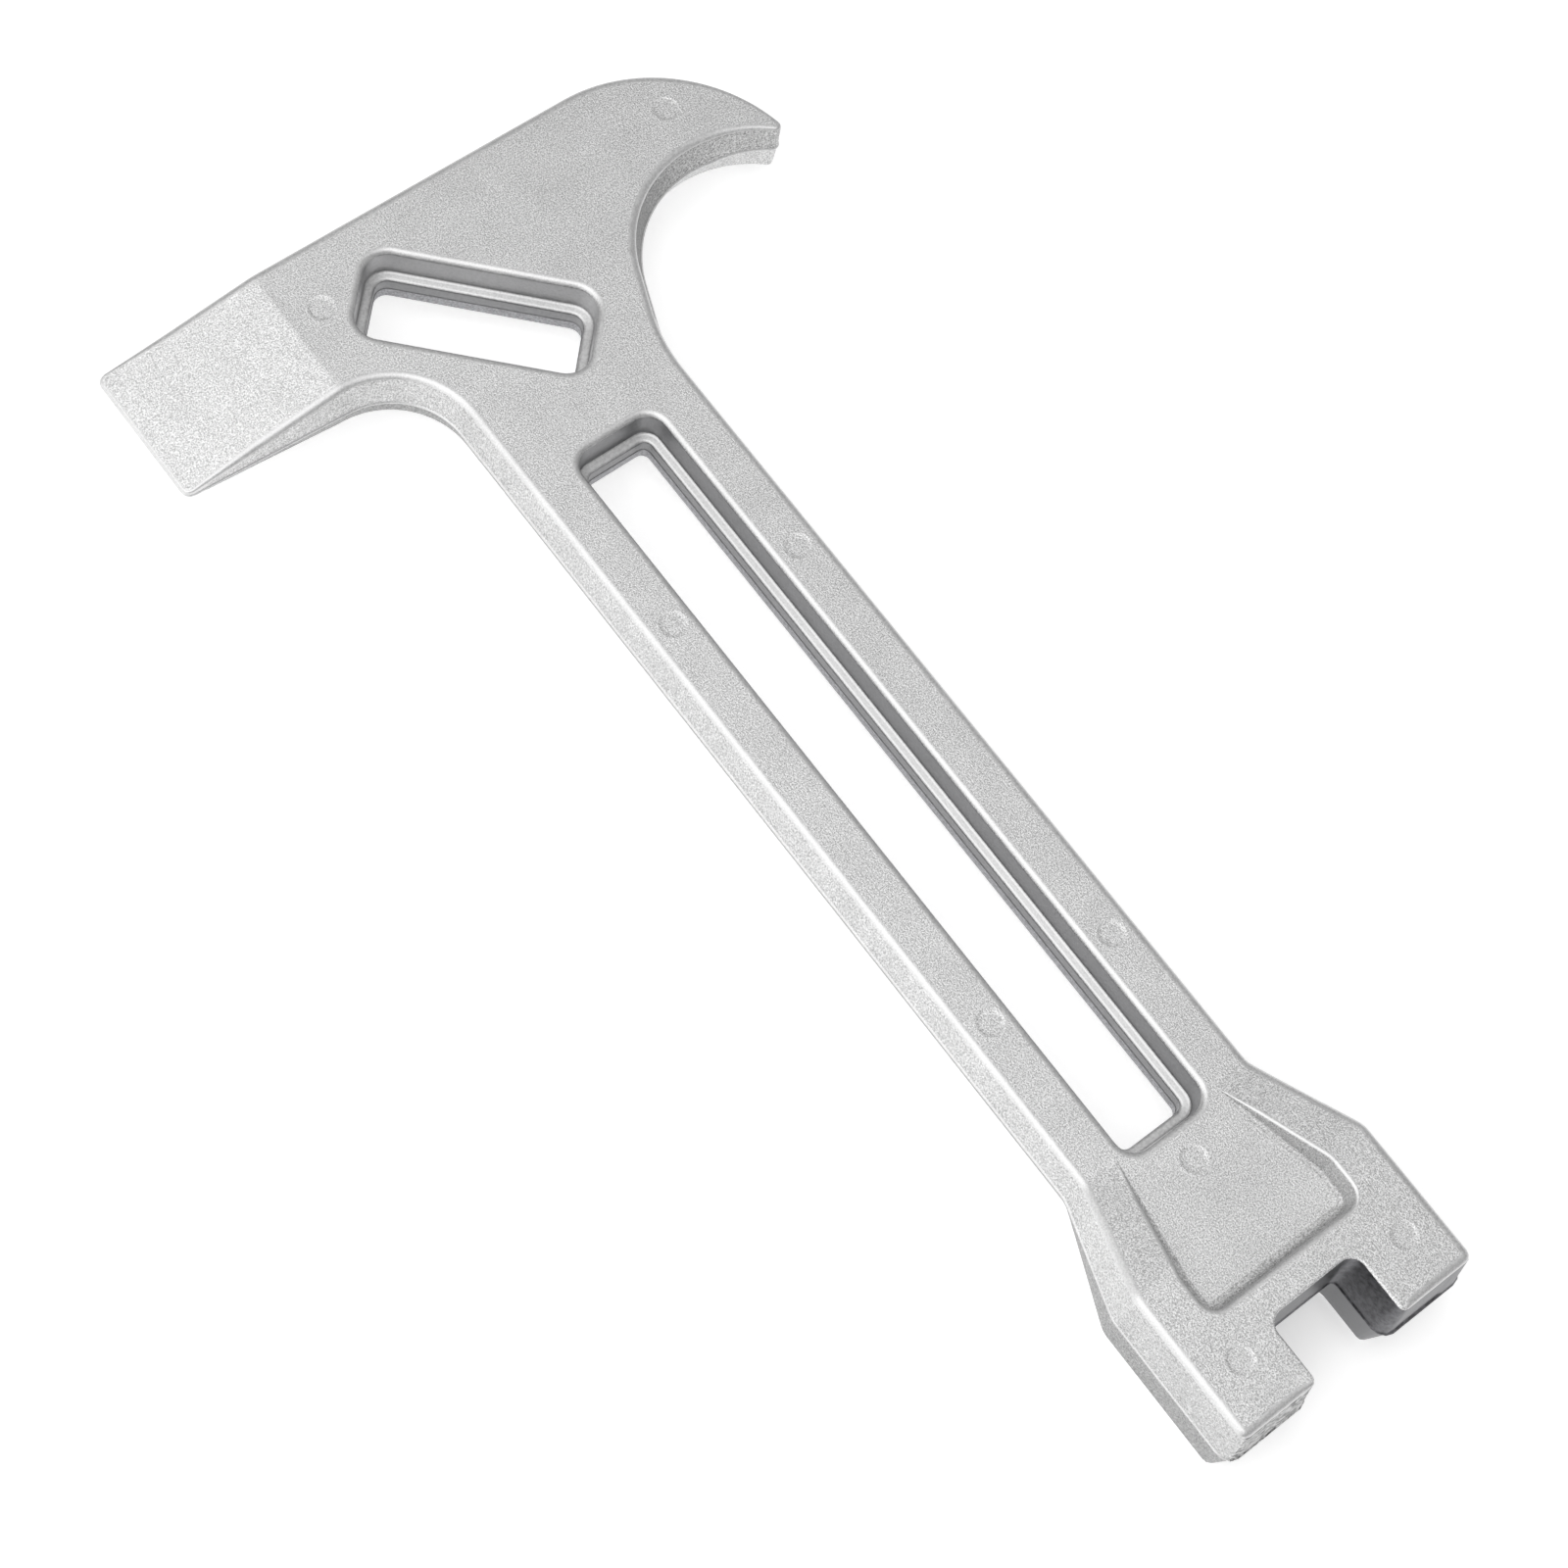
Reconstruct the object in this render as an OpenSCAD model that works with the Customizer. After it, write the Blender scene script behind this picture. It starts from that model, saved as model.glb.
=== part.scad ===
// Fire hydrant wrench: a one-piece die-cast bar tool with a hook, a pry blade, a slanting
// window in the head, a slotted handle and a thick flared foot with an end notch.
//
// Millimetres. The handle runs along Y with the head at +Y, the hook points to +X and the
// blade to -X. The tool lies flat: Z = 0 is the underside of the foot. The origin is below
// the middle of the tool. Every side wall leans outwards from both faces to the parting
// plane at mid thickness, as a casting's walls do.

/* [Overall] */
// Length from the foot's end to the top of the head, at the parting plane
overall_length = 284; // [235:1:345]
// How far the side walls stand out at the parting plane, beyond the faces
wall_run = 2; // [0.8:0.1:2.4]

/* [Handle] */
// Width of the handle, at the face
handle_w = 39.4; // [32:0.2:48]
// Thickness of the handle and head
handle_t = 13.2; // [10:0.2:17]

/* [Stepped slots] */
// Width of the handle slot's lip
slot_w = 19.2; // [15:0.2:23]
// Distance from the flare to the handle slot, negative where the slot runs into the flare
slot_flare_gap = -1.5; // [-3:0.1:20]
// Distance from the top of the head to the handle slot
slot_head_gap = 64.4; // [60:0.1:80]
// Corner radius of the handle slot's lip
slot_corner_r = 4; // [3.6:0.1:6]
// Width of the ledge inside the handle slot
slot_ledge = 2; // [1:0.1:2.4]
// How far the wall above a ledge leans in on the way down
slot_wall_run = 0.3; // [0.1:0.1:1]
// Depth of the ledges below the upper face
slot_step = 6.4; // [3:0.1:9]

/* [Head] */
// How far the hook reaches from the handle's centre line
hook_reach = 69.6; // [62:0.2:84]
// Radius of the hook's outer curve
hook_outer_r = 33.7; // [30:0.1:38]
// Radius of the hook's throat
throat_r = 26.6; // [23:0.1:29]
// Centre of the throat, below the top of the head
throat_drop = 48.9; // [45:0.1:54]
// Radius of the bend from the handle into the throat
neck_r = 36; // [32:1:45]
// Start of that bend, below the centre of the throat
neck_drop = 11.8; // [9:0.2:16]
// Radius of the hook's point
hook_tip_r = 1.2; // [0.8:0.1:2]
// Centre of the hook's point, below the top of the head
hook_tip_drop = 27.3; // [25:0.1:29]
// How far the hook's point stands out at the parting plane
hook_tip_run = 0.5; // [0.2:0.1:1]
// Radius of the heel between the blade and the handle
heel_r = 18; // [12:0.5:24]

/* [Blade] */
// How far the blade reaches from the handle's centre line
blade_reach = 71.4; // [62:0.2:84]
// Length of the tapered part of the blade
blade_l = 34.4; // [26:0.2:40]
// Width of the blade
blade_w = 29.4; // [24:0.2:35]
// Thickness of the blade's tip
blade_tip_t = 1.8; // [1:0.1:3]
// Radius of the blade's corners
blade_corner_r = 1.6; // [1:0.1:6]

/* [Head window] */
// Width of the window's lip
window_w = 18.7; // [16:0.1:22]
// Length of the window's lip
window_l = 45.2; // [40:0.2:54]
// Angle of the window to the handle
window_angle = 45; // [35:1:55]
// Middle of the window, towards the blade
window_x = 6; // [3:0.1:8]
// Middle of the window, below the top of the head
window_drop = 29.5; // [28:0.1:34]
// Corner radius of the window's lip
window_corner_r = 5; // [4.4:0.1:7]
// Width of the ledge inside the window
window_ledge = 2; // [1:0.1:3]

/* [Foot] */
// Width of the foot, at the face
foot_w = 54.6; // [46:0.2:66]
// Thickness of the foot
foot_t = 24.5; // [18:0.5:30]
// Length of the foot's parallel part
foot_l = 31.5; // [27:0.5:38]
// Length of the flare between the foot and the handle
flare_l = 21.5; // [17:0.5:26]
// How far the foot's side walls stand out at the parting plane
foot_run = 1.3; // [0.6:0.1:2]
// Radius of the foot's corners
foot_corner_r = 1.6; // [1:0.1:5]
// Width of the end notch, at the face
notch_w = 20.4; // [16:0.2:25]
// Depth of the end notch, from the foot's face edge
notch_depth = 13.3; // [10:0.1:15]
// How far the notch's walls stand in at the parting plane
notch_run = 1.7; // [0.5:0.1:2]
// Corner radius of the end notch
notch_corner_r = 2.8; // [2.1:0.1:5]
// Width of the rim between the pocket and the foot's sides, at the face
rim_w = 9.4; // [6:0.2:12]
// Distance from the foot's face edge to the pocket
pocket_start = 19.4; // [17:0.1:25]
// Corner radius of the pocket
pocket_corner_r = 3.4; // [1:0.1:6]
// Depth of the pocket's floor below the handle's face
pocket_sink = 0.2; // [0.1:0.1:1]

/* [Hidden] */

// Steps per quarter turn of an arc
STEPS = 10;
// How far a cutting shape passes the surface that it opens
PAST = 1;

// Heights above and below the parting plane, which lies at mid_z
mid_z = foot_t / 2;
handle_h = handle_t / 2;
foot_h = foot_t / 2;
tip_h = blade_tip_t / 2;

// Places along the tool, at the faces
top_y = overall_length / 2 - wall_run;
end_y = -overall_length / 2 + wall_run;
flare_low_y = -overall_length / 2 + foot_l;
flare_high_y = flare_low_y + flare_l;

// The sides, and the heel between the blade and the handle
handle_x = handle_w / 2;
foot_x = foot_w / 2;
crease_x = -blade_reach + blade_l;
blade_low_y = top_y - blade_w;
heel_fit_r = min(heel_r, -crease_x - handle_x);
heel = [-handle_x - heel_fit_r, blade_low_y - heel_fit_r];

// The hook's point is a small circle that touches both the outer curve and the throat
tip = [hook_reach - hook_tip_run - hook_tip_r, top_y - hook_tip_drop];
outer = beside(tip, hook_outer_r - hook_tip_r, top_y - hook_outer_r);
throat = beside(tip, throat_r + hook_tip_r, top_y - throat_drop);
tip_from_outer = atan2(tip.y - outer.y, tip.x - outer.x);
tip_from_throat = atan2(tip.y - throat.y, tip.x - throat.x);

// Angle of the straight side that touches both the neck's bend and the throat
neck = [handle_x + neck_r, throat.y - neck_drop];
neck_to_throat = throat - neck;
side_angle = atan2(neck_to_throat.y, neck_to_throat.x)
    + acos((neck_r - throat_r) / norm(neck_to_throat));

// Points on an arc, both ends included, from angle a to angle b
function arc(centre, r, a, b, steps = 0) =
    let (n = steps > 0 ? steps : max(2, ceil(abs(b - a) / 90 * STEPS)))
    [for (i = [0:n]) let (t = a + (b - a) * i / n) centre + r * [cos(t), sin(t)]];

// The point at height y that lies at distance d from point p, on its left
function beside(p, d, y) = [p.x - sqrt(d * d - (p.y - y) * (p.y - y)), y];

// A list without its first row, for an arc that starts where the last one ended
function tail(list) = [for (i = [1:len(list) - 1]) list[i]];

// A rectangle with round corners, centred, anticlockwise
function round_box(w, l, r) = concat(
    arc([w / 2 - r, l / 2 - r], r, 0, 90),
    arc([-w / 2 + r, l / 2 - r], r, 90, 180),
    arc([-w / 2 + r, -l / 2 + r], r, 180, 270),
    arc([w / 2 - r, -l / 2 + r], r, 270, 360));

// Anticlockwise outline of the faces, in four stretches: the foot, the right side up to
// the crease, the blade and the left side
foot_points = concat(
    [[-foot_x, flare_low_y]],
    arc([-foot_x + foot_corner_r, end_y + foot_corner_r], foot_corner_r, 180, 270, 4),
    arc([foot_x - foot_corner_r, end_y + foot_corner_r], foot_corner_r, 270, 360, 4),
    [[foot_x, flare_low_y]]);
right_points = concat(
    [[handle_x, flare_high_y]],
    arc(neck, neck_r, 180, side_angle, 4),
    arc(throat, throat_r, side_angle, tip_from_throat),
    tail(arc(tip, hook_tip_r, tip_from_throat - 180, tip_from_outer, 6)),
    tail(arc(outer, hook_outer_r, tip_from_outer, 90)));
blade_points = concat(
    [[crease_x, top_y]],
    arc([-blade_reach + blade_corner_r, top_y - blade_corner_r], blade_corner_r, 90, 180, 4),
    arc([-blade_reach + blade_corner_r, blade_low_y + blade_corner_r],
        blade_corner_r, 180, 270, 4),
    [[crease_x, blade_low_y]]);
left_points = concat(
    [for (p = arc(heel, heel_fit_r, 90, 0)) if (norm(p - [crease_x, blade_low_y]) > 0.01) p],
    [[-handle_x, flare_high_y]]);

// The face's height above the parting plane at a point of the outline
function face_h(p) =
    p.y < flare_high_y ? lookup(p.y, [[flare_low_y, foot_h], [flare_high_y, handle_h]])
    : lookup(p.x, [[-blade_reach, tip_h], [crease_x, handle_h]]);

// How far the wall stands out at the parting plane at a point of the outline
function run_at(p) =
    p.y <= end_y + foot_corner_r * 0.6 ? wall_run
    : p.y < flare_high_y ? lookup(p.y, [[flare_low_y, foot_run], [flare_high_y, wall_run]])
    : p.x < 0 ? wall_run * face_h(p) / handle_h
    : lookup(p.x, [[hook_reach - 14, wall_run], [hook_reach - 2, hook_tip_run]]);

// The outward direction at point i of a closed anticlockwise outline, as long as a mitre
function outward(points, i) =
    let (n = len(points), p = points[i])
    let (a = p - points[(i + n - 1) % n], b = points[(i + 1) % n] - p)
    let (na = [a.y, -a.x] / norm(a), nb = [b.y, -b.x] / norm(b))
    (na + nb) / (1 + na * nb);

// Moves a closed outline outwards by d
function outset(points, d) = [for (i = [0:len(points) - 1]) points[i] + d * outward(points, i)];

// Whether point p lies in the anticlockwise triangle a, b, c
function inside(p, a, b, c) =
    cross(b - a, p - a) >= 0 && cross(c - b, p - b) >= 0 && cross(a - c, p - c) >= 0;

// Whether corner k of a ring of point numbers can be cut off as a triangle
function is_ear(points, ring, k) =
    let (n = len(ring), i = ring[(k + n - 1) % n], j = ring[k], l = ring[(k + 1) % n])
    cross(points[j] - points[i], points[l] - points[j]) > 0
    && len([for (m = ring)
        if (m != i && m != j && m != l && inside(points[m], points[i], points[j], points[l])) m
    ]) == 0;

// Splits a ring with inward bends into triangles by cutting off one ear at a time
function ears(points, ring) =
    let (n = len(ring))
    n == 3 ? [ring]
    : let (k = [for (i = [0:n - 1]) if (is_ear(points, ring, i)) i][0])
    concat(
        [[ring[(k + n - 1) % n], ring[k], ring[(k + 1) % n]]],
        ears(points, [for (i = [0:n - 1]) if (i != k) ring[i]]));

// The solid between two outlines with as many points, at two heights
module loft(low, high, z_low, z_high) {
    n = len(low);
    points = concat([for (p = low) [p.x, p.y, z_low]], [for (p = high) [p.x, p.y, z_high]]);
    sides = [for (i = [0:n - 1]) [i, n + i, n + (i + 1) % n, (i + 1) % n]];
    base = [for (i = [0:n - 1]) i];
    top = [for (i = [n - 1:-1:0]) n + i];
    polyhedron(points, concat([base, top], sides));
}

// The outer shape with no openings: three rings of points, the underside, the parting
// plane and the top, with flat faces for the foot, its flare, the handle and the blade
module blank() {
    face = concat(foot_points, right_points, blade_points, left_points);
    n = len(face);
    foot_n = len(foot_points);
    right_n = foot_n + len(right_points);
    blade_n = right_n + len(blade_points);
    part = [for (i = [0:n - 1]) face[i] + run_at(face[i]) * outward(face, i)];
    points = concat(
        [for (p = face) [p.x, p.y, -face_h(p)]],
        [for (p = part) [p.x, p.y, 0]],
        [for (p = face) [p.x, p.y, face_h(p)]]);
    foot_face = [for (i = [0:foot_n - 1]) i];
    flare_face = [foot_n - 1, foot_n, n - 1, 0];
    handle_ring = concat([for (i = [foot_n:right_n]) i], [for (i = [blade_n - 1:n - 1]) i]);
    blade_face = [for (i = [right_n:blade_n - 1]) i];
    faces = concat([foot_face, flare_face, blade_face], ears(face, handle_ring));
    walls = [for (level = [0, n], i = [0:n - 1])
        [level + i, level + n + i, level + n + (i + 1) % n, level + (i + 1) % n]];
    polyhedron(points, concat(
        faces,
        [for (f = faces) [for (i = [len(f) - 1:-1:0]) f[i] + 2 * n]],
        walls));
}

// A slot through the head or handle: a lip at the upper face, a wall that leans in a little,
// a ledge near mid thickness and a narrower opening from there to the underside
module stepped_slot(w, l, r, ledge) {
    lip = round_box(w, l, r);
    lean = slot_wall_run / slot_step;
    over = outset(lip, lean * PAST);
    shelf = outset(lip, -slot_wall_run);
    inset = slot_wall_run + ledge;
    inner_r = max(r - inset, 0.5);
    loft(shelf, over, handle_h - slot_step, handle_h + PAST);
    linear_extrude(handle_t + 2 * PAST, center = true)
        polygon(round_box(w - 2 * inset, l - 2 * inset, inner_r));
}

module handle_slot() {
    low_y = flare_high_y + slot_flare_gap;
    high_y = top_y - slot_head_gap;
    translate([0, (low_y + high_y) / 2, 0])
        stepped_slot(slot_w, high_y - low_y, slot_corner_r, slot_ledge);
}

module head_window() {
    translate([-window_x, top_y - window_drop, 0])
        rotate(window_angle)
            stepped_slot(window_w, window_l, window_corner_r, window_ledge);
}

// The notch in the end of the foot, narrowest at the parting plane
module end_notch() {
    lean = notch_run / foot_h;
    low_y = end_y - wall_run - notch_run - PAST;
    r = notch_corner_r;
    right = notch_w / 2;
    face = concat(
        [[-right, low_y], [right, low_y]],
        arc([right - r, end_y + notch_depth - r], r, 0, 90, 6),
        arc([-right + r, end_y + notch_depth - r], r, 90, 180, 6));
    waist = outset(face, -notch_run);
    over = outset(face, lean * PAST);
    for (side = [0, 1])
        mirror([0, 0, side])
            loft(waist, over, 0, foot_h + PAST);
}

// The shallow pocket in each face of the foot. Its floor is level with the handle's face,
// so its walls grow with the flare
module pocket() {
    low_y = end_y + pocket_start;
    r = pocket_corner_r;
    wide = foot_x - rim_w;
    narrow = handle_x - rim_w;
    outline = concat(
        [[-narrow, flare_high_y], [-wide, flare_low_y]],
        arc([-wide + r, low_y + r], r, 180, 270, 4),
        arc([wide - r, low_y + r], r, 270, 360, 4),
        [[wide, flare_low_y], [narrow, flare_high_y]]);
    for (side = [0, 1])
        mirror([0, 0, side])
            translate([0, 0, handle_h - pocket_sink])
                linear_extrude(foot_h - handle_h + pocket_sink + PAST)
                    polygon(outline);
}

module wrench_casting() {
    color([0.76, 0.77, 0.78])
        translate([0, 0, mid_z])
            difference() {
                blank();
                handle_slot();
                head_window();
                end_notch();
                pocket();
            }
}

wrench_casting();
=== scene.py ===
"""A one-piece die-cast hydrant wrench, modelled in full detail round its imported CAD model.

The casting is built as one closed mesh. Each face is a flat cap with its creases, pocket and
ejector-pin marks, and each outline carries a stack of rings that follow the rounded edge and
the drafted wall down to the parting plane. Sizes are in millimetres until the mesh is made.
"""

import math

import bmesh
import bpy
from mathutils import Matrix, Quaternion, Vector
from mathutils.geometry import delaunay_2d_cdt


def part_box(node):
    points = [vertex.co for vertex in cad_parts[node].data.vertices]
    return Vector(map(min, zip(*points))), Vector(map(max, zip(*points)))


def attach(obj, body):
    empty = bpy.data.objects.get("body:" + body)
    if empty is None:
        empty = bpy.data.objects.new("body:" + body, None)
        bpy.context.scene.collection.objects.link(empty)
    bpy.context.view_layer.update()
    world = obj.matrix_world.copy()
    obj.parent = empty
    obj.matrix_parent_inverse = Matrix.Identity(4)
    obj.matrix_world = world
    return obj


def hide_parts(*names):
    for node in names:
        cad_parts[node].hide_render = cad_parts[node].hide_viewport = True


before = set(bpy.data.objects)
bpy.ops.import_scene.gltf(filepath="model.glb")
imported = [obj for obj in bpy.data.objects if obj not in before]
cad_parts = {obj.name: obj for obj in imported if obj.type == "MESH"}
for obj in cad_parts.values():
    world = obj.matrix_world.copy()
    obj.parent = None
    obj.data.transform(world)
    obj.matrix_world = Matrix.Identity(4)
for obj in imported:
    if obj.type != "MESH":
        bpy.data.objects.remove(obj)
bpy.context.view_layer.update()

NODE = "wrench_casting"
MM = 0.001

# ---------------------------------------------------------------- sizes, in millimetres

node_low, node_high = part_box(NODE)
length = (node_high.y - node_low.y) / MM
foot_t = (node_high.z - node_low.z) / MM

wall_run = 2.0
handle_w = 39.4
handle_t = 13.2
slot_w, slot_flare_gap, slot_head_gap, slot_corner_r = 19.2, -1.5, 64.4, 4.0
window_w, window_l, window_corner_r = 18.7, 45.2, 5.0
window_x, window_drop, window_angle = 6.0, 29.5, 45.0
slot_wall_run, slot_ledge, slot_step = 0.3, 2.0, 6.4
hook_reach, hook_outer_r, throat_r, throat_drop = node_high.x / MM, 33.7, 26.6, 48.9
neck_r, neck_drop = 36.0, 11.8
hook_tip_r, hook_tip_drop, hook_tip_run = 1.2, 27.3, 0.5
heel_r = 17.3           # the part's 18, limited by the room beside the blade's crease
blade_reach, blade_l, blade_w, blade_tip_t, blade_corner_r = 71.4, 34.4, 29.4, 1.8, 1.6
foot_w, foot_l, flare_l, foot_run, foot_corner_r = 54.6, 31.5, 21.5, 1.3, 1.6
notch_w, notch_depth, notch_run, notch_corner_r = 20.4, 13.3, 1.7, 2.8
rim_w, pocket_start, pocket_corner_r = 9.4, 19.4, 3.4

# What only the visual model has
EDGE_R = 1.4            # rounding of the outer edges
NOTCH_EDGE_R = 0.45     # the same in the notch, which is trimmed to a crisper edge
NOTCH_FADE = 3          # distance over which one passes into the other
TIP_EDGE_R = 0.75       # rounding of the edge at the hook's point
TIP_START = 14          # how far before its point the hook's draft starts to fade
TIP_FADE = 12           # distance over which it fades
POCKET_R = 0.7          # rounding of the pocket's lip
POCKET_FOOT_R = 2.2     # rounding at the wall's foot on the pocket's left side
POCKET_BEND_R = 6.0     # rounding where the pocket's sides bend with the flare
LIP_R = 1.15            # rounding of the slots' lips
LEDGE_R = 0.7           # rounding inside and outside the slots' ledges
LEDGE_FALL = 0.15       # how far a ledge falls towards the opening
FLASH = 0.15            # how far the flash line inside a slot stands out
FLASH_Z = -2.9          # its height above the parting plane
FLASH_R = 0.04          # rounding of its edges
FLARE_R = 7.0           # rounding of the flare's corners, seen from above
PRONG_R = 1.3           # rounding of the notch's outer corners, seen from above
CREASE_SOFT = 1.3       # half the width over which the flare's creases turn
BLADE_SOFT = 0.35       # the same for the blade's crease
BEAD = 0.25             # how far the parting line stands out
END_FLASH = 0.5         # the same on the end of the right prong, where flash is left
BEAD_HALF_W = 0.38      # half the width of the parting line
MARK_R = 2.6            # radius of the ejector-pin marks
MARK_DEPTH = 0.11       # depth of the step round a mark
MARK_RIDGE = 0.015      # height of the ring outside it
MARK_STEP = 9           # degrees left between the last point of a ring and its first
SPACING = 0.9           # distance between points along an outline
GRID = 3.0              # distance between points inside a face
KEEP_OFF = 1.0          # least distance of those points from an outline, along x or y
ARC_STEPS = 5           # steps in each rounded edge
SLACK = 0.1             # allowance when a point of an outline is tested against a line

# Radii at which a mark has rings of points
MARK_RINGS = [MARK_R + d for d in (-1.4, -0.5, -0.35, -0.2, -0.05, 0.0, 0.12, 0.25, 0.38, 0.5, 0.9)]

# Zones of the surface. Each has its own metal, in this order
(FACE, EDGE, WALL, FOOT_WALL, LOW_WALL, THROAT, POCKET,
 INNER, WINDOW, LEDGE, LOWER, NOTCH, TRIMMED) = range(13)

mid_z = foot_t / 2
handle_h, tip_h = handle_t / 2, blade_tip_t / 2
foot_h = foot_t / 2 - MARK_RIDGE
top_y, end_y = length / 2 - wall_run, -length / 2 + wall_run
flare_low_y = -length / 2 + foot_l
flare_high_y = flare_low_y + flare_l
handle_x, foot_x, notch_x = handle_w / 2, foot_w / 2, notch_w / 2
notch_top_y = end_y + notch_depth
hook_start_x = handle_x + 5             # the hook's own walls lie to the right of this
pocket_bend_y = flare_low_y - 1.5       # where the pocket's sides bend with the flare
crease_x = -blade_reach + blade_l
blade_low_y = top_y - blade_w

# Middles of the ejector-pin marks on the upper face, as x and y
MARKS = [
    (51.7, top_y - 12.7), (crease_x + 7, top_y - 12.9),
    (14.9, 37.3), (-14.2, 37.6), (14.9, -56.1), (-14.1, -56.3),
    (19.6, end_y + 10.2), (-18.7, end_y + 10.9), (0.0, flare_high_y - 8),
]


# ---------------------------------------------------------------- plane geometry


def arc(centre, r, a, b, step=SPACING):
    """Points on an arc from angle a to angle b, in degrees, both ends included."""
    n = max(3, math.ceil(abs(math.radians(b - a)) * r / step))
    turns = [math.radians(a + (b - a) * i / n) for i in range(n + 1)]
    return [(centre[0] + r * math.cos(t), centre[1] + r * math.sin(t)) for t in turns]


def beside(p, d, y):
    """The point at height y that lies at distance d from p, on its left."""
    return (p[0] - math.sqrt(d * d - (p[1] - y) ** 2), y)


def angle_to(a, b):
    """The direction from a to b, in degrees."""
    return math.degrees(math.atan2(b[1] - a[1], b[0] - a[0]))


def rounded(corners, closed, steps=None):
    """A line through corners (x, y, radius) with each one rounded to its radius. With
    steps, each rounded corner has that many; without, as many as its length needs."""
    n = len(corners)
    line = []
    for i, (x, y, r) in enumerate(corners):
        inner = closed or 0 < i < n - 1
        if not inner or r <= 0:
            line.append((x, y))
            continue
        p = Vector((x, y))
        before = (Vector(corners[i - 1][:2]) - p).normalized()
        after = (Vector(corners[(i + 1) % n][:2]) - p).normalized()
        half = before.angle(after) / 2
        centre = p + (before + after).normalized() * (r / math.sin(half))
        start = p + before * (r / math.tan(half))
        turn = math.pi - 2 * half
        if before.x * after.y - before.y * after.x > 0:
            turn = -turn
        count = steps or max(3, math.ceil(abs(turn) * r / SPACING))
        for k in range(count + 1):
            t = Matrix.Rotation(turn * k / count, 2)
            line.append(tuple(centre + t @ (start - centre)))
    return line


def filled(line, closed=True):
    """A line with points added so that none are more than SPACING apart."""
    out = []
    ends = line[1:] + line[:1] if closed else line[1:]
    for a, b in zip(line, ends):
        n = max(1, math.ceil(math.dist(a, b) / SPACING))
        out += [(a[0] + (b[0] - a[0]) * k / n, a[1] + (b[1] - a[1]) * k / n) for k in range(n)]
    return out if closed else out + line[-1:]


def outward(line, closed=True):
    """The direction to the right of an anticlockwise line at each point, as a mitre."""
    n = len(line)
    out = []
    for i, p in enumerate(line):
        a = Vector(p) - Vector(line[i - 1])
        b = Vector(line[(i + 1) % n]) - Vector(p)
        if not closed and i == 0:
            a = b
        if not closed and i == n - 1:
            b = a
        na, nb = Vector((a.y, -a.x)).normalized(), Vector((b.y, -b.x)).normalized()
        out.append((na + nb) / (1 + na.dot(nb)))
    return out


def within(p, line):
    """Whether p lies inside a closed line."""
    inside = False
    for i, a in enumerate(line):
        b = line[i - 1]
        if (a[1] > p[1]) != (b[1] > p[1]):
            if p[0] < a[0] + (b[0] - a[0]) * (p[1] - a[1]) / (b[1] - a[1]):
                inside = not inside
    return inside


# ---------------------------------------------------------------- outlines


def hook_line():
    """The right side from the handle into the throat, round the point and over the top."""
    tip = (hook_reach - hook_tip_run - hook_tip_r, top_y - hook_tip_drop)
    outer = beside(tip, hook_outer_r - hook_tip_r, top_y - hook_outer_r)
    throat = beside(tip, throat_r + hook_tip_r, top_y - throat_drop)
    neck = (handle_x + neck_r, throat[1] - neck_drop)
    gap = math.dist(neck, throat)
    side = angle_to(neck, throat) + math.degrees(math.acos((neck_r - throat_r) / gap))
    into_tip, over_tip = angle_to(throat, tip), angle_to(outer, tip)
    return (
        arc(neck, neck_r, 180, side)
        + arc(throat, throat_r, side, into_tip)
        + arc(tip, hook_tip_r, into_tip - 180, over_tip, step=0.35)[1:]
        + arc(outer, hook_outer_r, over_tip, 90)[1:]
    )


def body_line():
    """The outline of a face, anticlockwise, with the notch in the foot's end."""
    corners = [
        (-foot_x, flare_low_y, FLARE_R),
        (-foot_x, end_y, foot_corner_r),
        (-notch_x, end_y, PRONG_R),
        (-notch_x, notch_top_y, notch_corner_r),
        (notch_x, notch_top_y, notch_corner_r),
        (notch_x, end_y, PRONG_R),
        (foot_x, end_y, foot_corner_r),
        (foot_x, flare_low_y, FLARE_R),
        (handle_x, flare_high_y, FLARE_R),
        *[(x, y, 0) for x, y in hook_line()],
        (-blade_reach, top_y, blade_corner_r),
        (-blade_reach, blade_low_y, blade_corner_r),
        (-handle_x, blade_low_y, heel_r),
        (-handle_x, flare_high_y, FLARE_R),
    ]
    return filled(rounded(corners, closed=True))


def box_line(w, l, r):
    """A rectangle with round corners, centred, anticlockwise."""
    corners = [(-w / 2, -l / 2, r), (w / 2, -l / 2, r), (w / 2, l / 2, r), (-w / 2, l / 2, r)]
    return filled(rounded(corners, closed=True))


def slot_line():
    """The lip of the handle's slot."""
    low, high = flare_high_y + slot_flare_gap, top_y - slot_head_gap
    middle = (low + high) / 2
    return [(x, y + middle) for x, y in box_line(slot_w, high - low, slot_corner_r)]


def window_line():
    """The lip of the head's window."""
    turn = Matrix.Rotation(math.radians(window_angle), 2)
    middle = Vector((-window_x, top_y - window_drop))
    line = box_line(window_w, window_l, window_corner_r)
    return [tuple(turn @ Vector(p) + middle) for p in line]


def pocket_line():
    """The pocket's wall, from the flare's left side round the foot to its right side. It
    begins and ends where the flare does, because the floor is level with the handle."""
    low, high = end_y + pocket_start, flare_high_y + CREASE_SOFT
    wide, narrow = foot_x - rim_w, handle_x - rim_w + 1
    corners = [
        (-narrow, high, 0),
        (-wide, pocket_bend_y, POCKET_BEND_R),
        (-wide, low, pocket_corner_r),
        (wide, low, pocket_corner_r),
        (wide, pocket_bend_y, POCKET_BEND_R),
        (narrow, high, 0),
    ]
    return filled(rounded(corners, closed=False), closed=False)


# ---------------------------------------------------------------- heights and walls


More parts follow.
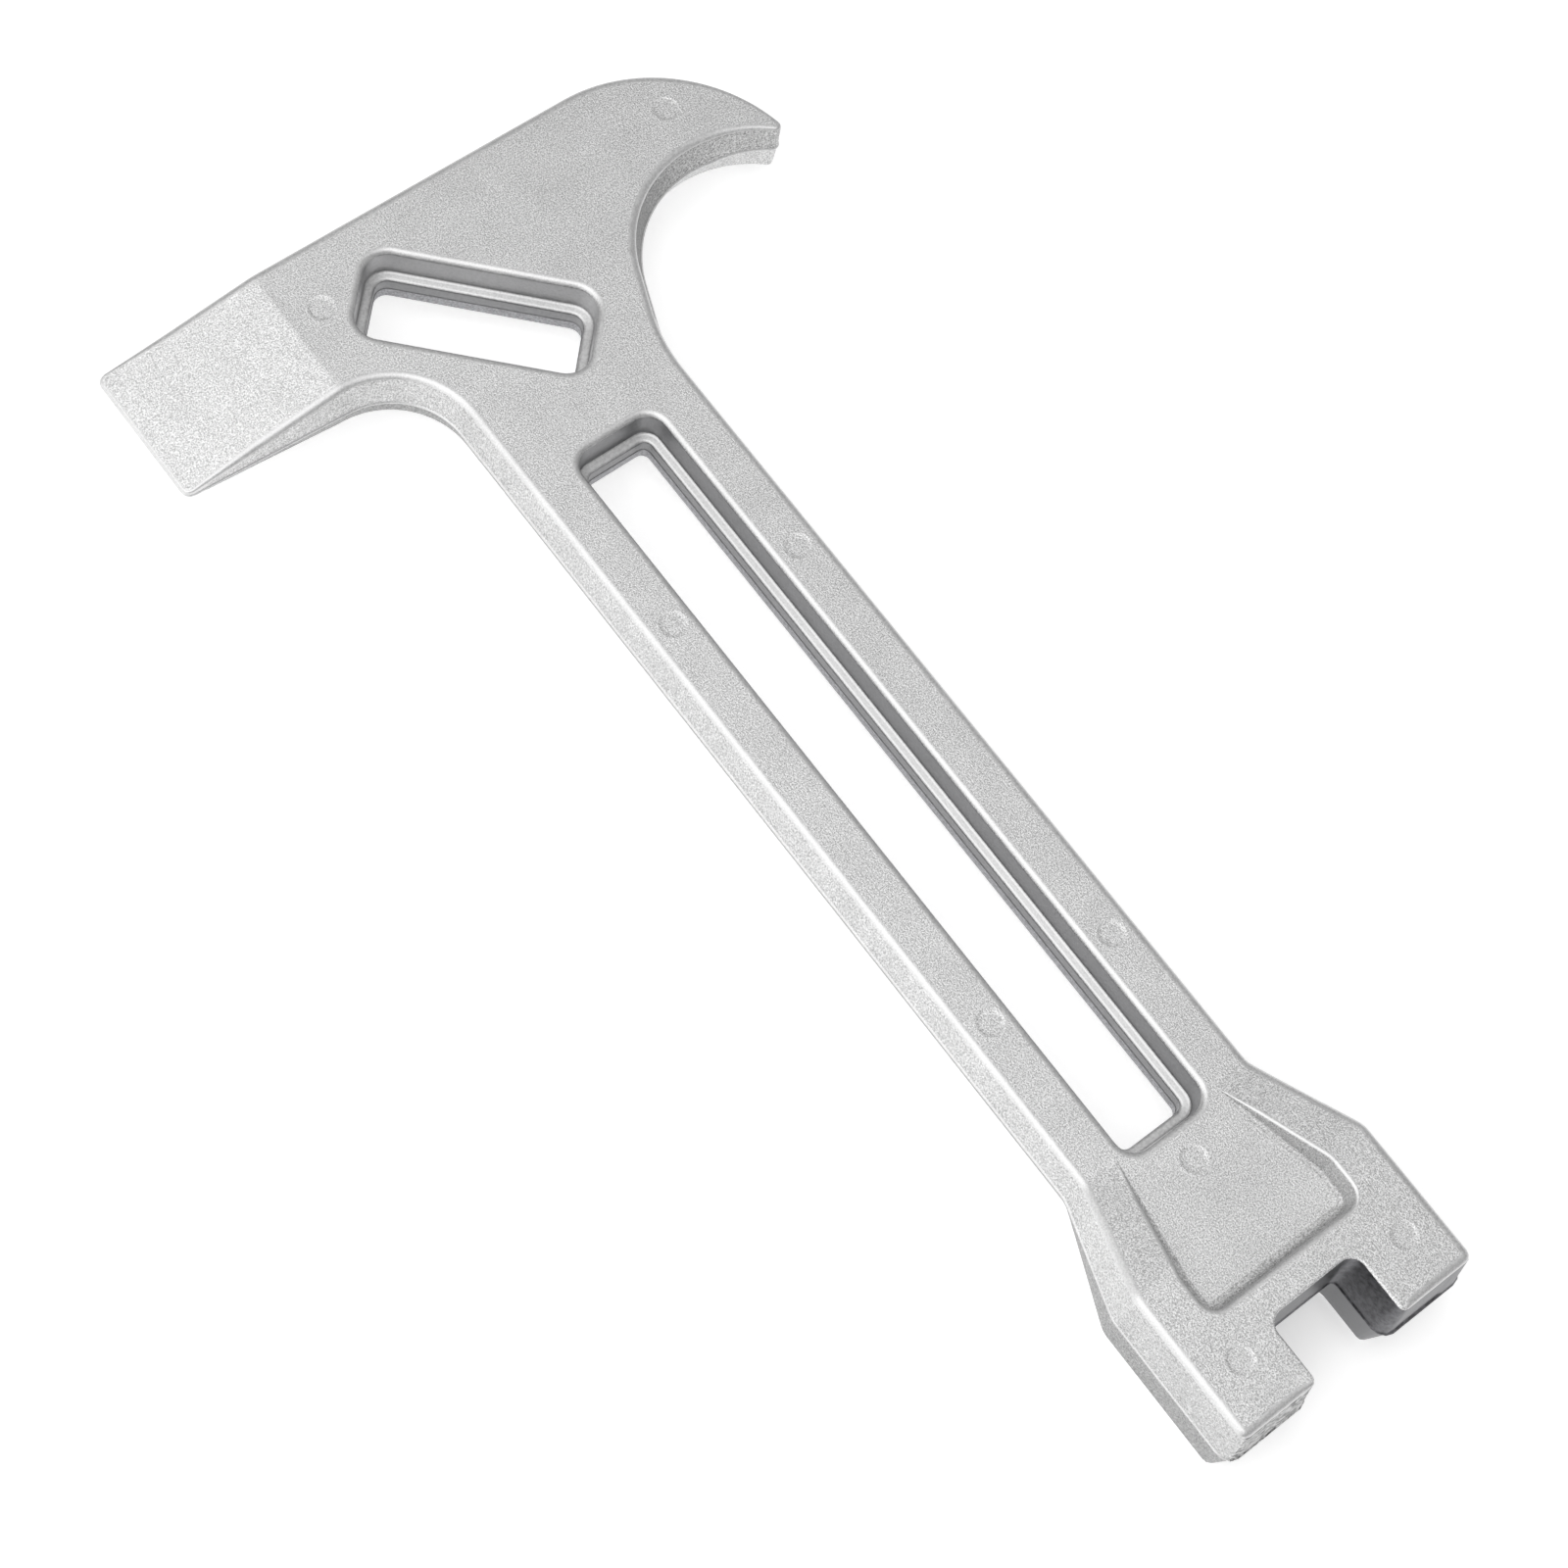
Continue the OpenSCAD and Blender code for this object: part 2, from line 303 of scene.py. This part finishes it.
def soft_step(v, soft=CREASE_SOFT):
    """0 below zero and v above, turning smoothly over soft on each side."""
    if v <= -soft:
        return 0.0
    if v >= soft:
        return v
    return (v + soft) ** 2 / (4 * soft)


def flare_share(y):
    """0 on the handle and 1 on the foot."""
    return (soft_step(flare_high_y - y) - soft_step(flare_low_y - y)) / flare_l


def blade_share(x):
    """0 at the crease and 1 at the blade's tip."""
    return min(1.0, soft_step(crease_x - x, BLADE_SOFT) / blade_l)


def face_h(x, y):
    """Height of the face above the parting plane, without marks."""
    rise = (foot_h - handle_h) * flare_share(y)
    return handle_h + rise - (handle_h - tip_h) * blade_share(x)


def mark_z(x, y, marks):
    """What an ejector pin leaves: a low ridge round its edge, a step down inside it and a
    disc that rises a little towards the middle."""
    for cx, cy in marks:
        d = math.hypot(x - cx, y - cy) - MARK_R
        if d < 0.8:
            ring = MARK_RIDGE * max(0.0, 1 - abs(d - 0.3) / 0.25)
            sunk = MARK_DEPTH * min(1.0, max(0.0, 0.1 - d) / 0.6)
            dome = 0.5 * MARK_DEPTH * min(1.0, max(0.0, -0.4 - d) / 1.2)
            return ring - sunk + dome
    return 0.0


def near_tip(x):
    """0 on most of the hook and 1 at its point."""
    return min(1.0, max(0.0, (x - hook_reach + TIP_START) / TIP_FADE))


def run_at(x, y, n):
    """How far the outer wall stands out at the parting plane."""
    if x < crease_x:
        return wall_run * face_h(x, y) / handle_h
    if x > hook_start_x:
        return wall_run + (hook_tip_run - wall_run) * near_tip(x)
    run = wall_run + (foot_run - wall_run) * flare_share(y)
    if y < notch_top_y + SLACK and abs(x) < notch_x + 2 * SLACK:
        return notch_run
    if y < end_y + foot_corner_r:
        run += (wall_run - run) * max(0.0, -n.y) ** 2
    return run


def bead_at(x, y):
    """How far the parting line stands out. Flash is left on the end of the right prong,
    between its corners."""
    flash = y < end_y + 0.5 and notch_x + 1 < x < foot_x - 5
    return END_FLASH if flash else BEAD


def edge_r_at(x, y):
    """Rounding of the outer edge, which is crisper in the notch and at the hook's point."""
    if y < notch_top_y + SLACK:
        off_notch = min(1.0, max(0.0, (abs(x) - notch_x - 0.5) / NOTCH_FADE))
        return NOTCH_EDGE_R + (EDGE_R - NOTCH_EDGE_R) * off_notch
    return EDGE_R + (TIP_EDGE_R - EDGE_R) * near_tip(x)


def from_face(corners):
    """A profile's corners with a point added on the face before the first one."""
    (u0, z0, r0), (u1, z1) = corners[0], corners[1][:2]
    turn = math.atan2(abs(z0 - z1), u1 - u0)
    tangent = r0 * math.tan(turn / 2)
    return [(u0 - tangent - 0.3 * min(1.0, tangent), z0, 0), *corners]


def profile_points(corners):
    """The line through a profile's corners, rounded."""
    return rounded(corners, closed=False, steps=ARC_STEPS)


def outer_profile(h, run, bead, edge_r):
    """Corners of the outer wall as (distance out, height, radius), from face to plane. The
    edge and the parting line grow smaller where the wall is low or upright."""
    r = min(edge_r, 0.4 * h)
    bead = min(bead, 0.5 * run)
    half = min(BEAD_HALF_W, 0.3 * h)
    foot_of_wall = (run - bead) * (h - half) / h
    return from_face([
        (0, h, r), (foot_of_wall, half, 0.1), (run - bead * 0.3, half * 0.4, 0.05), (run, 0, 0)])


def slot_profile():
    """Corners of a slot's wall, ledge and opening, from the upper face to the lower one."""
    ledge_z = handle_h - slot_step
    inner = slot_wall_run + slot_ledge
    corners = [
        (0, handle_h, LIP_R),
        (slot_wall_run, ledge_z, LEDGE_R),
        (inner, ledge_z - LEDGE_FALL, LEDGE_R),
        (inner, FLASH_Z + FLASH, FLASH_R),
        (inner + FLASH, FLASH_Z, FLASH_R),
        (inner, FLASH_Z - FLASH, FLASH_R),
        (inner, -handle_h, EDGE_R),
    ]
    return from_face(from_face(corners)[::-1])[::-1]


def pocket_profile(depth, floor, n):
    """Corners of the pocket's wall, from its lip to its floor. The rounding at its foot is
    broad on the left side, and least on the right."""
    r, foot_r = min(POCKET_R, 0.3 * depth), min(POCKET_FOOT_R * (0.7 - 0.3 * n.x), 0.4 * depth)
    foot = 0.08 * depth
    return from_face([
        (0, floor + depth, r), (foot, floor, foot_r), (foot + 1.15 * foot_r, floor, 0)])


# ---------------------------------------------------------------- mesh


class Shell:
    """Points and faces of the casting. With side at -1, what is added lies upside down,
    mirrored at the parting plane."""

    def __init__(self):
        self.points = []
        self.faces = []
        self.zones = []
        self.side = 1

    def add_point(self, x, y, z):
        self.points.append((x, y, self.side * z))
        return len(self.points) - 1

    def add_face(self, face, zone):
        self.faces.append(face if self.side > 0 else face[::-1])
        self.zones.append(zone)

    def add_stack(self, line, profile_at, side, zone_at, lift=None, closed=True):
        """Rings that follow a profile from a line, outwards with side 1 and inwards with -1.
        On an open line all the rings meet at its two ends. Returns the first ring and the
        last one, as point numbers."""
        rings, levels = None, []
        for i, (p, n) in enumerate(zip(line, outward(line, closed))):
            profile = profile_points(profile_at(p, n))
            rings = rings or [[] for _ in profile]
            levels.append([z for _, z in profile])
            pinched = not closed and i in (0, len(line) - 1)
            if pinched:
                meeting = self.add_point(*p, face_h(*p))
            for ring, (u, z) in zip(rings, profile):
                x, y = p[0] + side * u * n.x, p[1] + side * u * n.y
                z = lift(p, x, y, z) if lift else z
                ring.append(meeting if pinched else self.add_point(x, y, z))
        count = len(line)
        for k in range(len(rings) - 1):
            for i in range(count if closed else count - 1):
                j = (i + 1) % count
                quad = (rings[k][i], rings[k + 1][i], rings[k + 1][j], rings[k][j])
                quad = tuple(dict.fromkeys(quad if side > 0 else quad[::-1]))
                if len(quad) > 2:
                    z = (levels[i][k] + levels[i][k + 1]) / 2
                    self.add_face(quad, zone_at(z, line[i]))
        return rings[0], rings[-1]

    def add_cap(self, outer, holes, height, marks, zone):
        """A flat or creased face inside the ring outer and outside the rings in holes."""
        rings = [outer, *holes]
        flat = [[self.points[i][:2] for i in ring] for ring in rings]
        fixed = [i for ring in rings for i in ring]
        plane = [Vector(p) for ring in flat for p in ring]
        edges = []
        for ring in rings:
            first = len(edges)
            edges += [(first + i, first + (i + 1) % len(ring)) for i in range(len(ring))]
        keep_off = [Vector(p) for ring in flat for p in ring[::2]]
        for p in face_points(flat[0], marks):
            clear = all(
                abs(p[0] - q.x) > KEEP_OFF or abs(p[1] - q.y) > KEEP_OFF for q in keep_off)
            if clear and within(p, flat[0]) and not any(within(p, h) for h in flat[1:]):
                plane.append(Vector(p))
        for cx, cy in marks:
            for r in MARK_RINGS:
                plane += [Vector(p) for p in arc((cx, cy), r, 0, 360 - MARK_STEP, step=r / 7)]
        points, _, faces, from_input, _, _ = delaunay_2d_cdt(plane, edges, [], 0, 1e-5)
        number = []
        for p, sources in zip(points, from_input):
            known = [s for s in sources if s < len(fixed)]
            if known:
                number.append(fixed[known[0]])
            else:
                z = height(p.x, p.y) + mark_z(p.x, p.y, marks)
                number.append(self.add_point(p.x, p.y, z))
        for face in faces:
            a, b, c = (points[i] for i in face)
            middle = (a + b + c) / 3
            if not within(middle, flat[0]) or any(within(middle, h) for h in flat[1:]):
                continue
            ring = [number[i] for i in face]
            if (b - a).cross(c - a) < 0:
                ring.reverse()
            self.add_face(tuple(ring), zone)


def face_points(line, marks):
    """Points inside a face: a loose grid, with rows on each side of the creases."""
    xs, ys = [p[0] for p in line], [p[1] for p in line]
    columns = [crease_x + BLADE_SOFT * k / 2 for k in range(-4, 5)]
    rows = [y + CREASE_SOFT * k / 2 for y in (flare_low_y, flare_high_y) for k in range(-4, 5)]
    x = min(xs)
    while x < max(xs):
        if min(abs(x - c) for c in columns) > GRID / 2:
            columns.append(x)
        x += GRID
    y = min(ys)
    while y < max(ys):
        if min(abs(y - r) for r in rows) > GRID / 2:
            rows.append(y)
        y += GRID
    reach = max(MARK_RINGS) + 0.6
    for x in columns:
        for y in rows:
            if all(math.hypot(x - cx, y - cy) > reach for cx, cy in marks):
                yield (x, y)


def build_half(shell, side, slots, marks):
    """The half of the casting above the parting plane, or with side at -1 the half below.
    slots holds the rings where the slots open into this half's face."""
    shell.side = side
    wall = pocket_line()

    def outer_at(p, n):
        return outer_profile(face_h(*p), run_at(*p, n), bead_at(*p), edge_r_at(*p))

    def outer_zone(z, p):
        # The rounded edge takes a grey held below the face's brightest: painted shade that dims its
        # highlight
        if z > face_h(*p) - 0.6 * edge_r_at(*p):
            return EDGE if edge_r_at(*p) > 0.5 * EDGE_R else FACE
        # Painted dark reflection: the notch and the right prong's end take a near-black grey on a
        # smoother finish
        if abs(p[0]) < notch_x + PRONG_R and p[1] < notch_top_y + SLACK:
            return NOTCH
        if p[1] < end_y + 0.6:
            return TRIMMED if p[0] < 0 else NOTCH
        if z < 0.7 * BEAD_HALF_W:
            return EDGE
        # Painted shade deep in the hook's throat: its upper wall takes a copy that darkens towards
        # the handle
        if p[0] > handle_x + 2 and p[1] > 0:
            return THROAT if side > 0 else WALL
        # Painted shade: the lower half of each wall is darker than its slope alone would make it
        if side < 0:
            return LOW_WALL
        # Painted shade: the foot's upper wall is a darker copy of the handle's
        return WALL if p[1] > flare_low_y else FOOT_WALL

    def follow_face(p, x, y, z):
        h = face_h(*p)
        return z + (face_h(x, y) - h) * max(0.0, z / h)

    def pocket_at(p, n):
        return pocket_profile(max(0.01, face_h(*p) - handle_h), handle_h, n)

    # Painted shade: the pocket's wall and the rounding at its foot are darker than the face
    def pocket_zone(z, p):
        return EDGE if z > face_h(*p) - 0.4 * POCKET_R else POCKET

    def follow_rim(p, x, y, z):
        depth = max(0.01, face_h(*p) - handle_h)
        lip = max(face_h(x, y) - handle_h, 0.01)
        return z + (lip - depth) * (z - handle_h) / depth

    def cap_h(x, y):
        return handle_h if within((x, y), wall) else face_h(x, y)

    outer, _ = shell.add_stack(body_line(), outer_at, 1, outer_zone, follow_face)
    lip, foot = shell.add_stack(
        wall, pocket_at, -1, pocket_zone, follow_rim, closed=False)
    band = lip + foot[-2:0:-1]
    shell.add_cap(outer, [*slots, band], cap_h, marks, FACE)


def slot_zone(z, p):
    """The zone of a slot's wall at height z. The window lies past the slot's upper end."""
    if z > handle_h - 0.6 * LIP_R or z < -handle_h + 0.5:
        return EDGE
    ledge_z = handle_h - slot_step
    # Painted shade: the slots' walls are dark; the window's is a lighter copy, painted light where
    # more light falls
    if z > ledge_z + 0.25:
        return WINDOW if p[1] > top_y - slot_head_gap + 2 else INNER
    if z > ledge_z - 0.4:
        return LEDGE
    return INNER if z > FLASH_Z else LOWER


def make_casting(materials):
    """The whole casting, closed, as one object in metres."""
    shell = Shell()
    upper, lower = [], []
    for line in (slot_line(), window_line()):
        first, last = shell.add_stack(line, lambda p, n: slot_profile(), -1, slot_zone)
        upper.append(first)
        lower.append(last)
    build_half(shell, 1, upper, MARKS)
    build_half(shell, -1, lower, [])
    mesh = bmesh.new()
    verts = [mesh.verts.new((x * MM, y * MM, (mid_z + z) * MM)) for x, y, z in shell.points]
    for face, zone in zip(shell.faces, shell.zones):
        made = mesh.faces.new([verts[i] for i in face])
        made.material_index = zone
        made.smooth = True
    # The two halves meet at the parting plane, and their points there are joined
    seam = [v for v in mesh.verts if abs(v.co.z - mid_z * MM) < 1e-7]
    bmesh.ops.remove_doubles(mesh, verts=seam, dist=1e-6)
    data = bpy.data.meshes.new("wrench_body")
    mesh.to_mesh(data)
    mesh.free()
    piece = bpy.data.objects.new("wrench_body", data)
    bpy.context.scene.collection.objects.link(piece)
    for material in materials:
        data.materials.append(material)
    return piece


# ---------------------------------------------------------------- materials


class Nodes:
    """A short way to add and link shader nodes."""

    def __init__(self, name):
        self.material = bpy.data.materials.new(name)
        self.material.use_nodes = True
        self.tree = self.material.node_tree
        self.shader = self.tree.nodes["Principled BSDF"]

    def add(self, kind, inputs=None, **settings):
        """A new node. An input is linked if it is given a socket, and set otherwise."""
        node = self.tree.nodes.new(kind)
        for key, value in settings.items():
            setattr(node, key, value)
        for key, value in (inputs or {}).items():
            if isinstance(value, bpy.types.NodeSocket):
                self.tree.links.new(value, node.inputs[key])
            else:
                node.inputs[key].default_value = value
        return node

    def ramp(self, value, stops):
        """A blend between two stops, each a place on value and a colour."""
        node = self.add("ShaderNodeValToRGB", {"Fac": value})
        for element, (place, colour) in zip(node.color_ramp.elements, stops):
            element.position = place
            element.color = (*colour, 1)
        return node.outputs["Color"]

    def set(self, **inputs):
        """Link or set inputs of the shader, named with _ for a space."""
        for key, value in inputs.items():
            socket = self.shader.inputs[key.replace("_", " ")]
            if isinstance(value, bpy.types.NodeSocket):
                self.tree.links.new(value, socket)
            else:
                socket.default_value = value


def grey(value, tint=0.0):
    """A grey, a little bluer with a tint."""
    return (value, value, value * (1 + tint))


def blasted_metal(name, dark, light, grain, roughness, relief, spread=0.14, tint=0.0, shade=None):
    """Shot-blasted aluminium: a fine pepper-and-salt grain with a little relief. dark and
    light are its grey levels, and a small spread parts them sharply. shade is the pair of x,
    in millimetres, over which a painted shade fades out: the colour rises from a quarter to full."""
    n = Nodes(name)
    place = n.add("ShaderNodeTexCoord").outputs["Object"]
    fine = n.add("ShaderNodeTexNoise", {
        "Vector": place, "Scale": grain, "Detail": 3.0, "Roughness": 0.65}).outputs["Fac"]
    broad = n.add("ShaderNodeTexNoise", {
        "Vector": place, "Scale": grain / 28, "Detail": 3.0, "Roughness": 0.5}).outputs["Fac"]
    speckle = n.ramp(fine, [(0.5 - spread, grey(dark, tint)), (0.5 + spread, grey(light, tint))])
    cloud = n.ramp(broad, [(0.3, grey(0.93)), (0.7, grey(1))])
    colour = n.add("ShaderNodeMix", {0: 1.0, 6: speckle, 7: cloud},
                   data_type="RGBA", blend_type="MULTIPLY").outputs[2]
    # Painted shade: the colour is darkened along x, down to a quarter
    if shade:
        x = n.add("ShaderNodeSeparateXYZ", {"Vector": place}).outputs["X"]
        painted_shade_factor = n.add("ShaderNodeMapRange", {
            "Value": x, "From Min": shade[0] * MM, "From Max": shade[1] * MM,
            "To Min": 0.25, "To Max": 1.0}).outputs["Result"]
        colour = n.add("ShaderNodeMix", {0: 1.0, 6: colour, 7: painted_shade_factor},
                       data_type="RGBA", blend_type="MULTIPLY").outputs[2]
    rough = n.add("ShaderNodeMapRange", {
        "Value": fine, "From Min": 0.3, "From Max": 0.7,
        "To Min": roughness - 0.08, "To Max": roughness + 0.1})
    bump = n.add("ShaderNodeBump", {"Height": fine, "Strength": relief, "Distance": 0.0002})
    n.set(Base_Color=colour, Metallic=1.0, Roughness=rough.outputs["Result"],
          Normal=bump.outputs["Normal"])
    return n.material


def floor_material():
    """A pale table, faintly lit from below as a product photographer's is."""
    n = Nodes("pale_floor")
    n.set(Base_Color=(0.9, 0.9, 0.9, 1), Roughness=0.8, Emission_Color=(1, 1, 1, 1),
          Emission_Strength=0.4)
    return n.material


# ---------------------------------------------------------------- stage


def area_light(name, place, size, power):
    """A white rectangular lamp that points at the origin."""
    data = bpy.data.lights.new(name, "AREA")
    data.shape = "RECTANGLE"
    data.size, data.size_y = size
    data.energy = power
    light = bpy.data.objects.new(name, data)
    light.location = place
    light.rotation_mode = "QUATERNION"
    light.rotation_quaternion = (-Vector(place)).to_track_quat("-Z", "Y")
    bpy.context.scene.collection.objects.link(light)


def make_stage():
    """The pale floor, the even grey surroundings and two soft lamps."""
    bpy.ops.mesh.primitive_plane_add(size=6)
    floor = bpy.context.object
    floor.name = "floor"
    floor.data.materials.append(floor_material())
    world = bpy.data.worlds.new("studio")
    world.use_nodes = True
    world.node_tree.nodes["Background"].inputs["Color"].default_value = (1, 1, 1, 1)
    world.node_tree.nodes["Background"].inputs["Strength"].default_value = 0.5
    bpy.context.scene.world = world
    bpy.context.scene.view_settings.view_transform = "Standard"
    area_light("overhead", (-0.42, 0.1, 1.2), size=(1.4, 1.4), power=8.9)
    area_light("left_strip", (-1.2, 0.2, 0.5), size=(1.8, 0.9), power=5.0)


def make_camera():
    """The view of the photograph: high over the foot's side, turned so that the handle
    runs from the upper left to the lower right."""
    distance, azimuth, elevation, roll = 0.600, 57.19, 66.58, -20.99
    aim = Vector((-14.3 * MM, 2.4 * MM, mid_z * MM))
    turn, tilt = math.radians(azimuth), math.radians(elevation)
    forward = Vector(
        (math.sin(turn) * math.cos(tilt), math.cos(turn) * math.cos(tilt), -math.sin(tilt)))
    data = bpy.data.cameras.new("camera")
    data.lens = 75.1
    data.sensor_width = 36
    data.clip_start, data.clip_end = 0.05, 20
    camera = bpy.data.objects.new("camera", data)
    camera.location = aim - forward * distance
    camera.rotation_mode = "QUATERNION"
    level = forward.to_track_quat("-Z", "Y")
    camera.rotation_quaternion = level @ Quaternion((0, 0, 1), -math.radians(roll))
    bpy.context.scene.collection.objects.link(camera)
    bpy.context.scene.camera = camera


# ---------------------------------------------------------------- assembly

metals = [
    blasted_metal("blasted_face", 0.5, 1.0, grain=3400, roughness=0.4, relief=0.6, spread=0.11),
    # Painted shade: the edges, lips and parting line get a darker-topped grey, which dims their
    # highlights
    blasted_metal("edge_painted_shade", 0.6, 0.78, grain=3000, roughness=0.42, relief=0.25),
    blasted_metal("blasted_wall", 0.37, 0.9, grain=3000, roughness=0.4, relief=0.8),
    # Painted shade: a darker copy of the wall metal for the foot's wall
    blasted_metal("blasted_foot_wall_painted_shade", 0.32, 0.82, grain=3000, roughness=0.4, relief=0.8),
    # Painted shade on the lower walls, which face the shaded floor next to the casting
    blasted_metal("blasted_low_wall_painted_shade", 0.09, 0.6, grain=2700, roughness=0.42, relief=1.0),
    # Painted shade in the throat: dark near the handle, full from x 56 mm
    blasted_metal("blasted_throat_painted_shade", 0.22, 0.78, grain=2800, roughness=0.42, relief=1.0,
                  shade=(24, 56)),
    # Painted shade in the pocket: a darker copy of the face metal
    blasted_metal("blasted_pocket_wall_painted_shade", 0.34, 0.84, grain=3200, roughness=0.45, relief=0.8),
    # Painted shade on the slots' walls, and a lighter copy as painted light on the window's wall
    blasted_metal("cast_slot_wall_painted_shade", 0.26, 0.34, grain=1500, roughness=0.4, relief=0.1, tint=0.02),
    blasted_metal("cast_window_wall_painted_light", 0.42, 0.52, grain=1500, roughness=0.4, relief=0.15,
                  tint=0.01),
    blasted_metal("cast_ledge", 0.56, 0.74, grain=2000, roughness=0.45, relief=0.2),
    blasted_metal("cast_lower_wall", 0.22, 0.5, grain=2400, roughness=0.45, relief=0.4, tint=0.04),
    # A smoother finish whose near-black grey is a painted dark reflection
    blasted_metal("cast_notch_painted_dark_reflection", 0.1, 0.2, grain=900, roughness=0.35, relief=0.08, tint=0.05),
    blasted_metal("trimmed_end", 0.08, 0.58, grain=1000, roughness=0.38, relief=1.8, spread=0.07),
]

make_camera()
casting = make_casting(metals)
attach(casting, "root")
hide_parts(NODE)
make_stage()
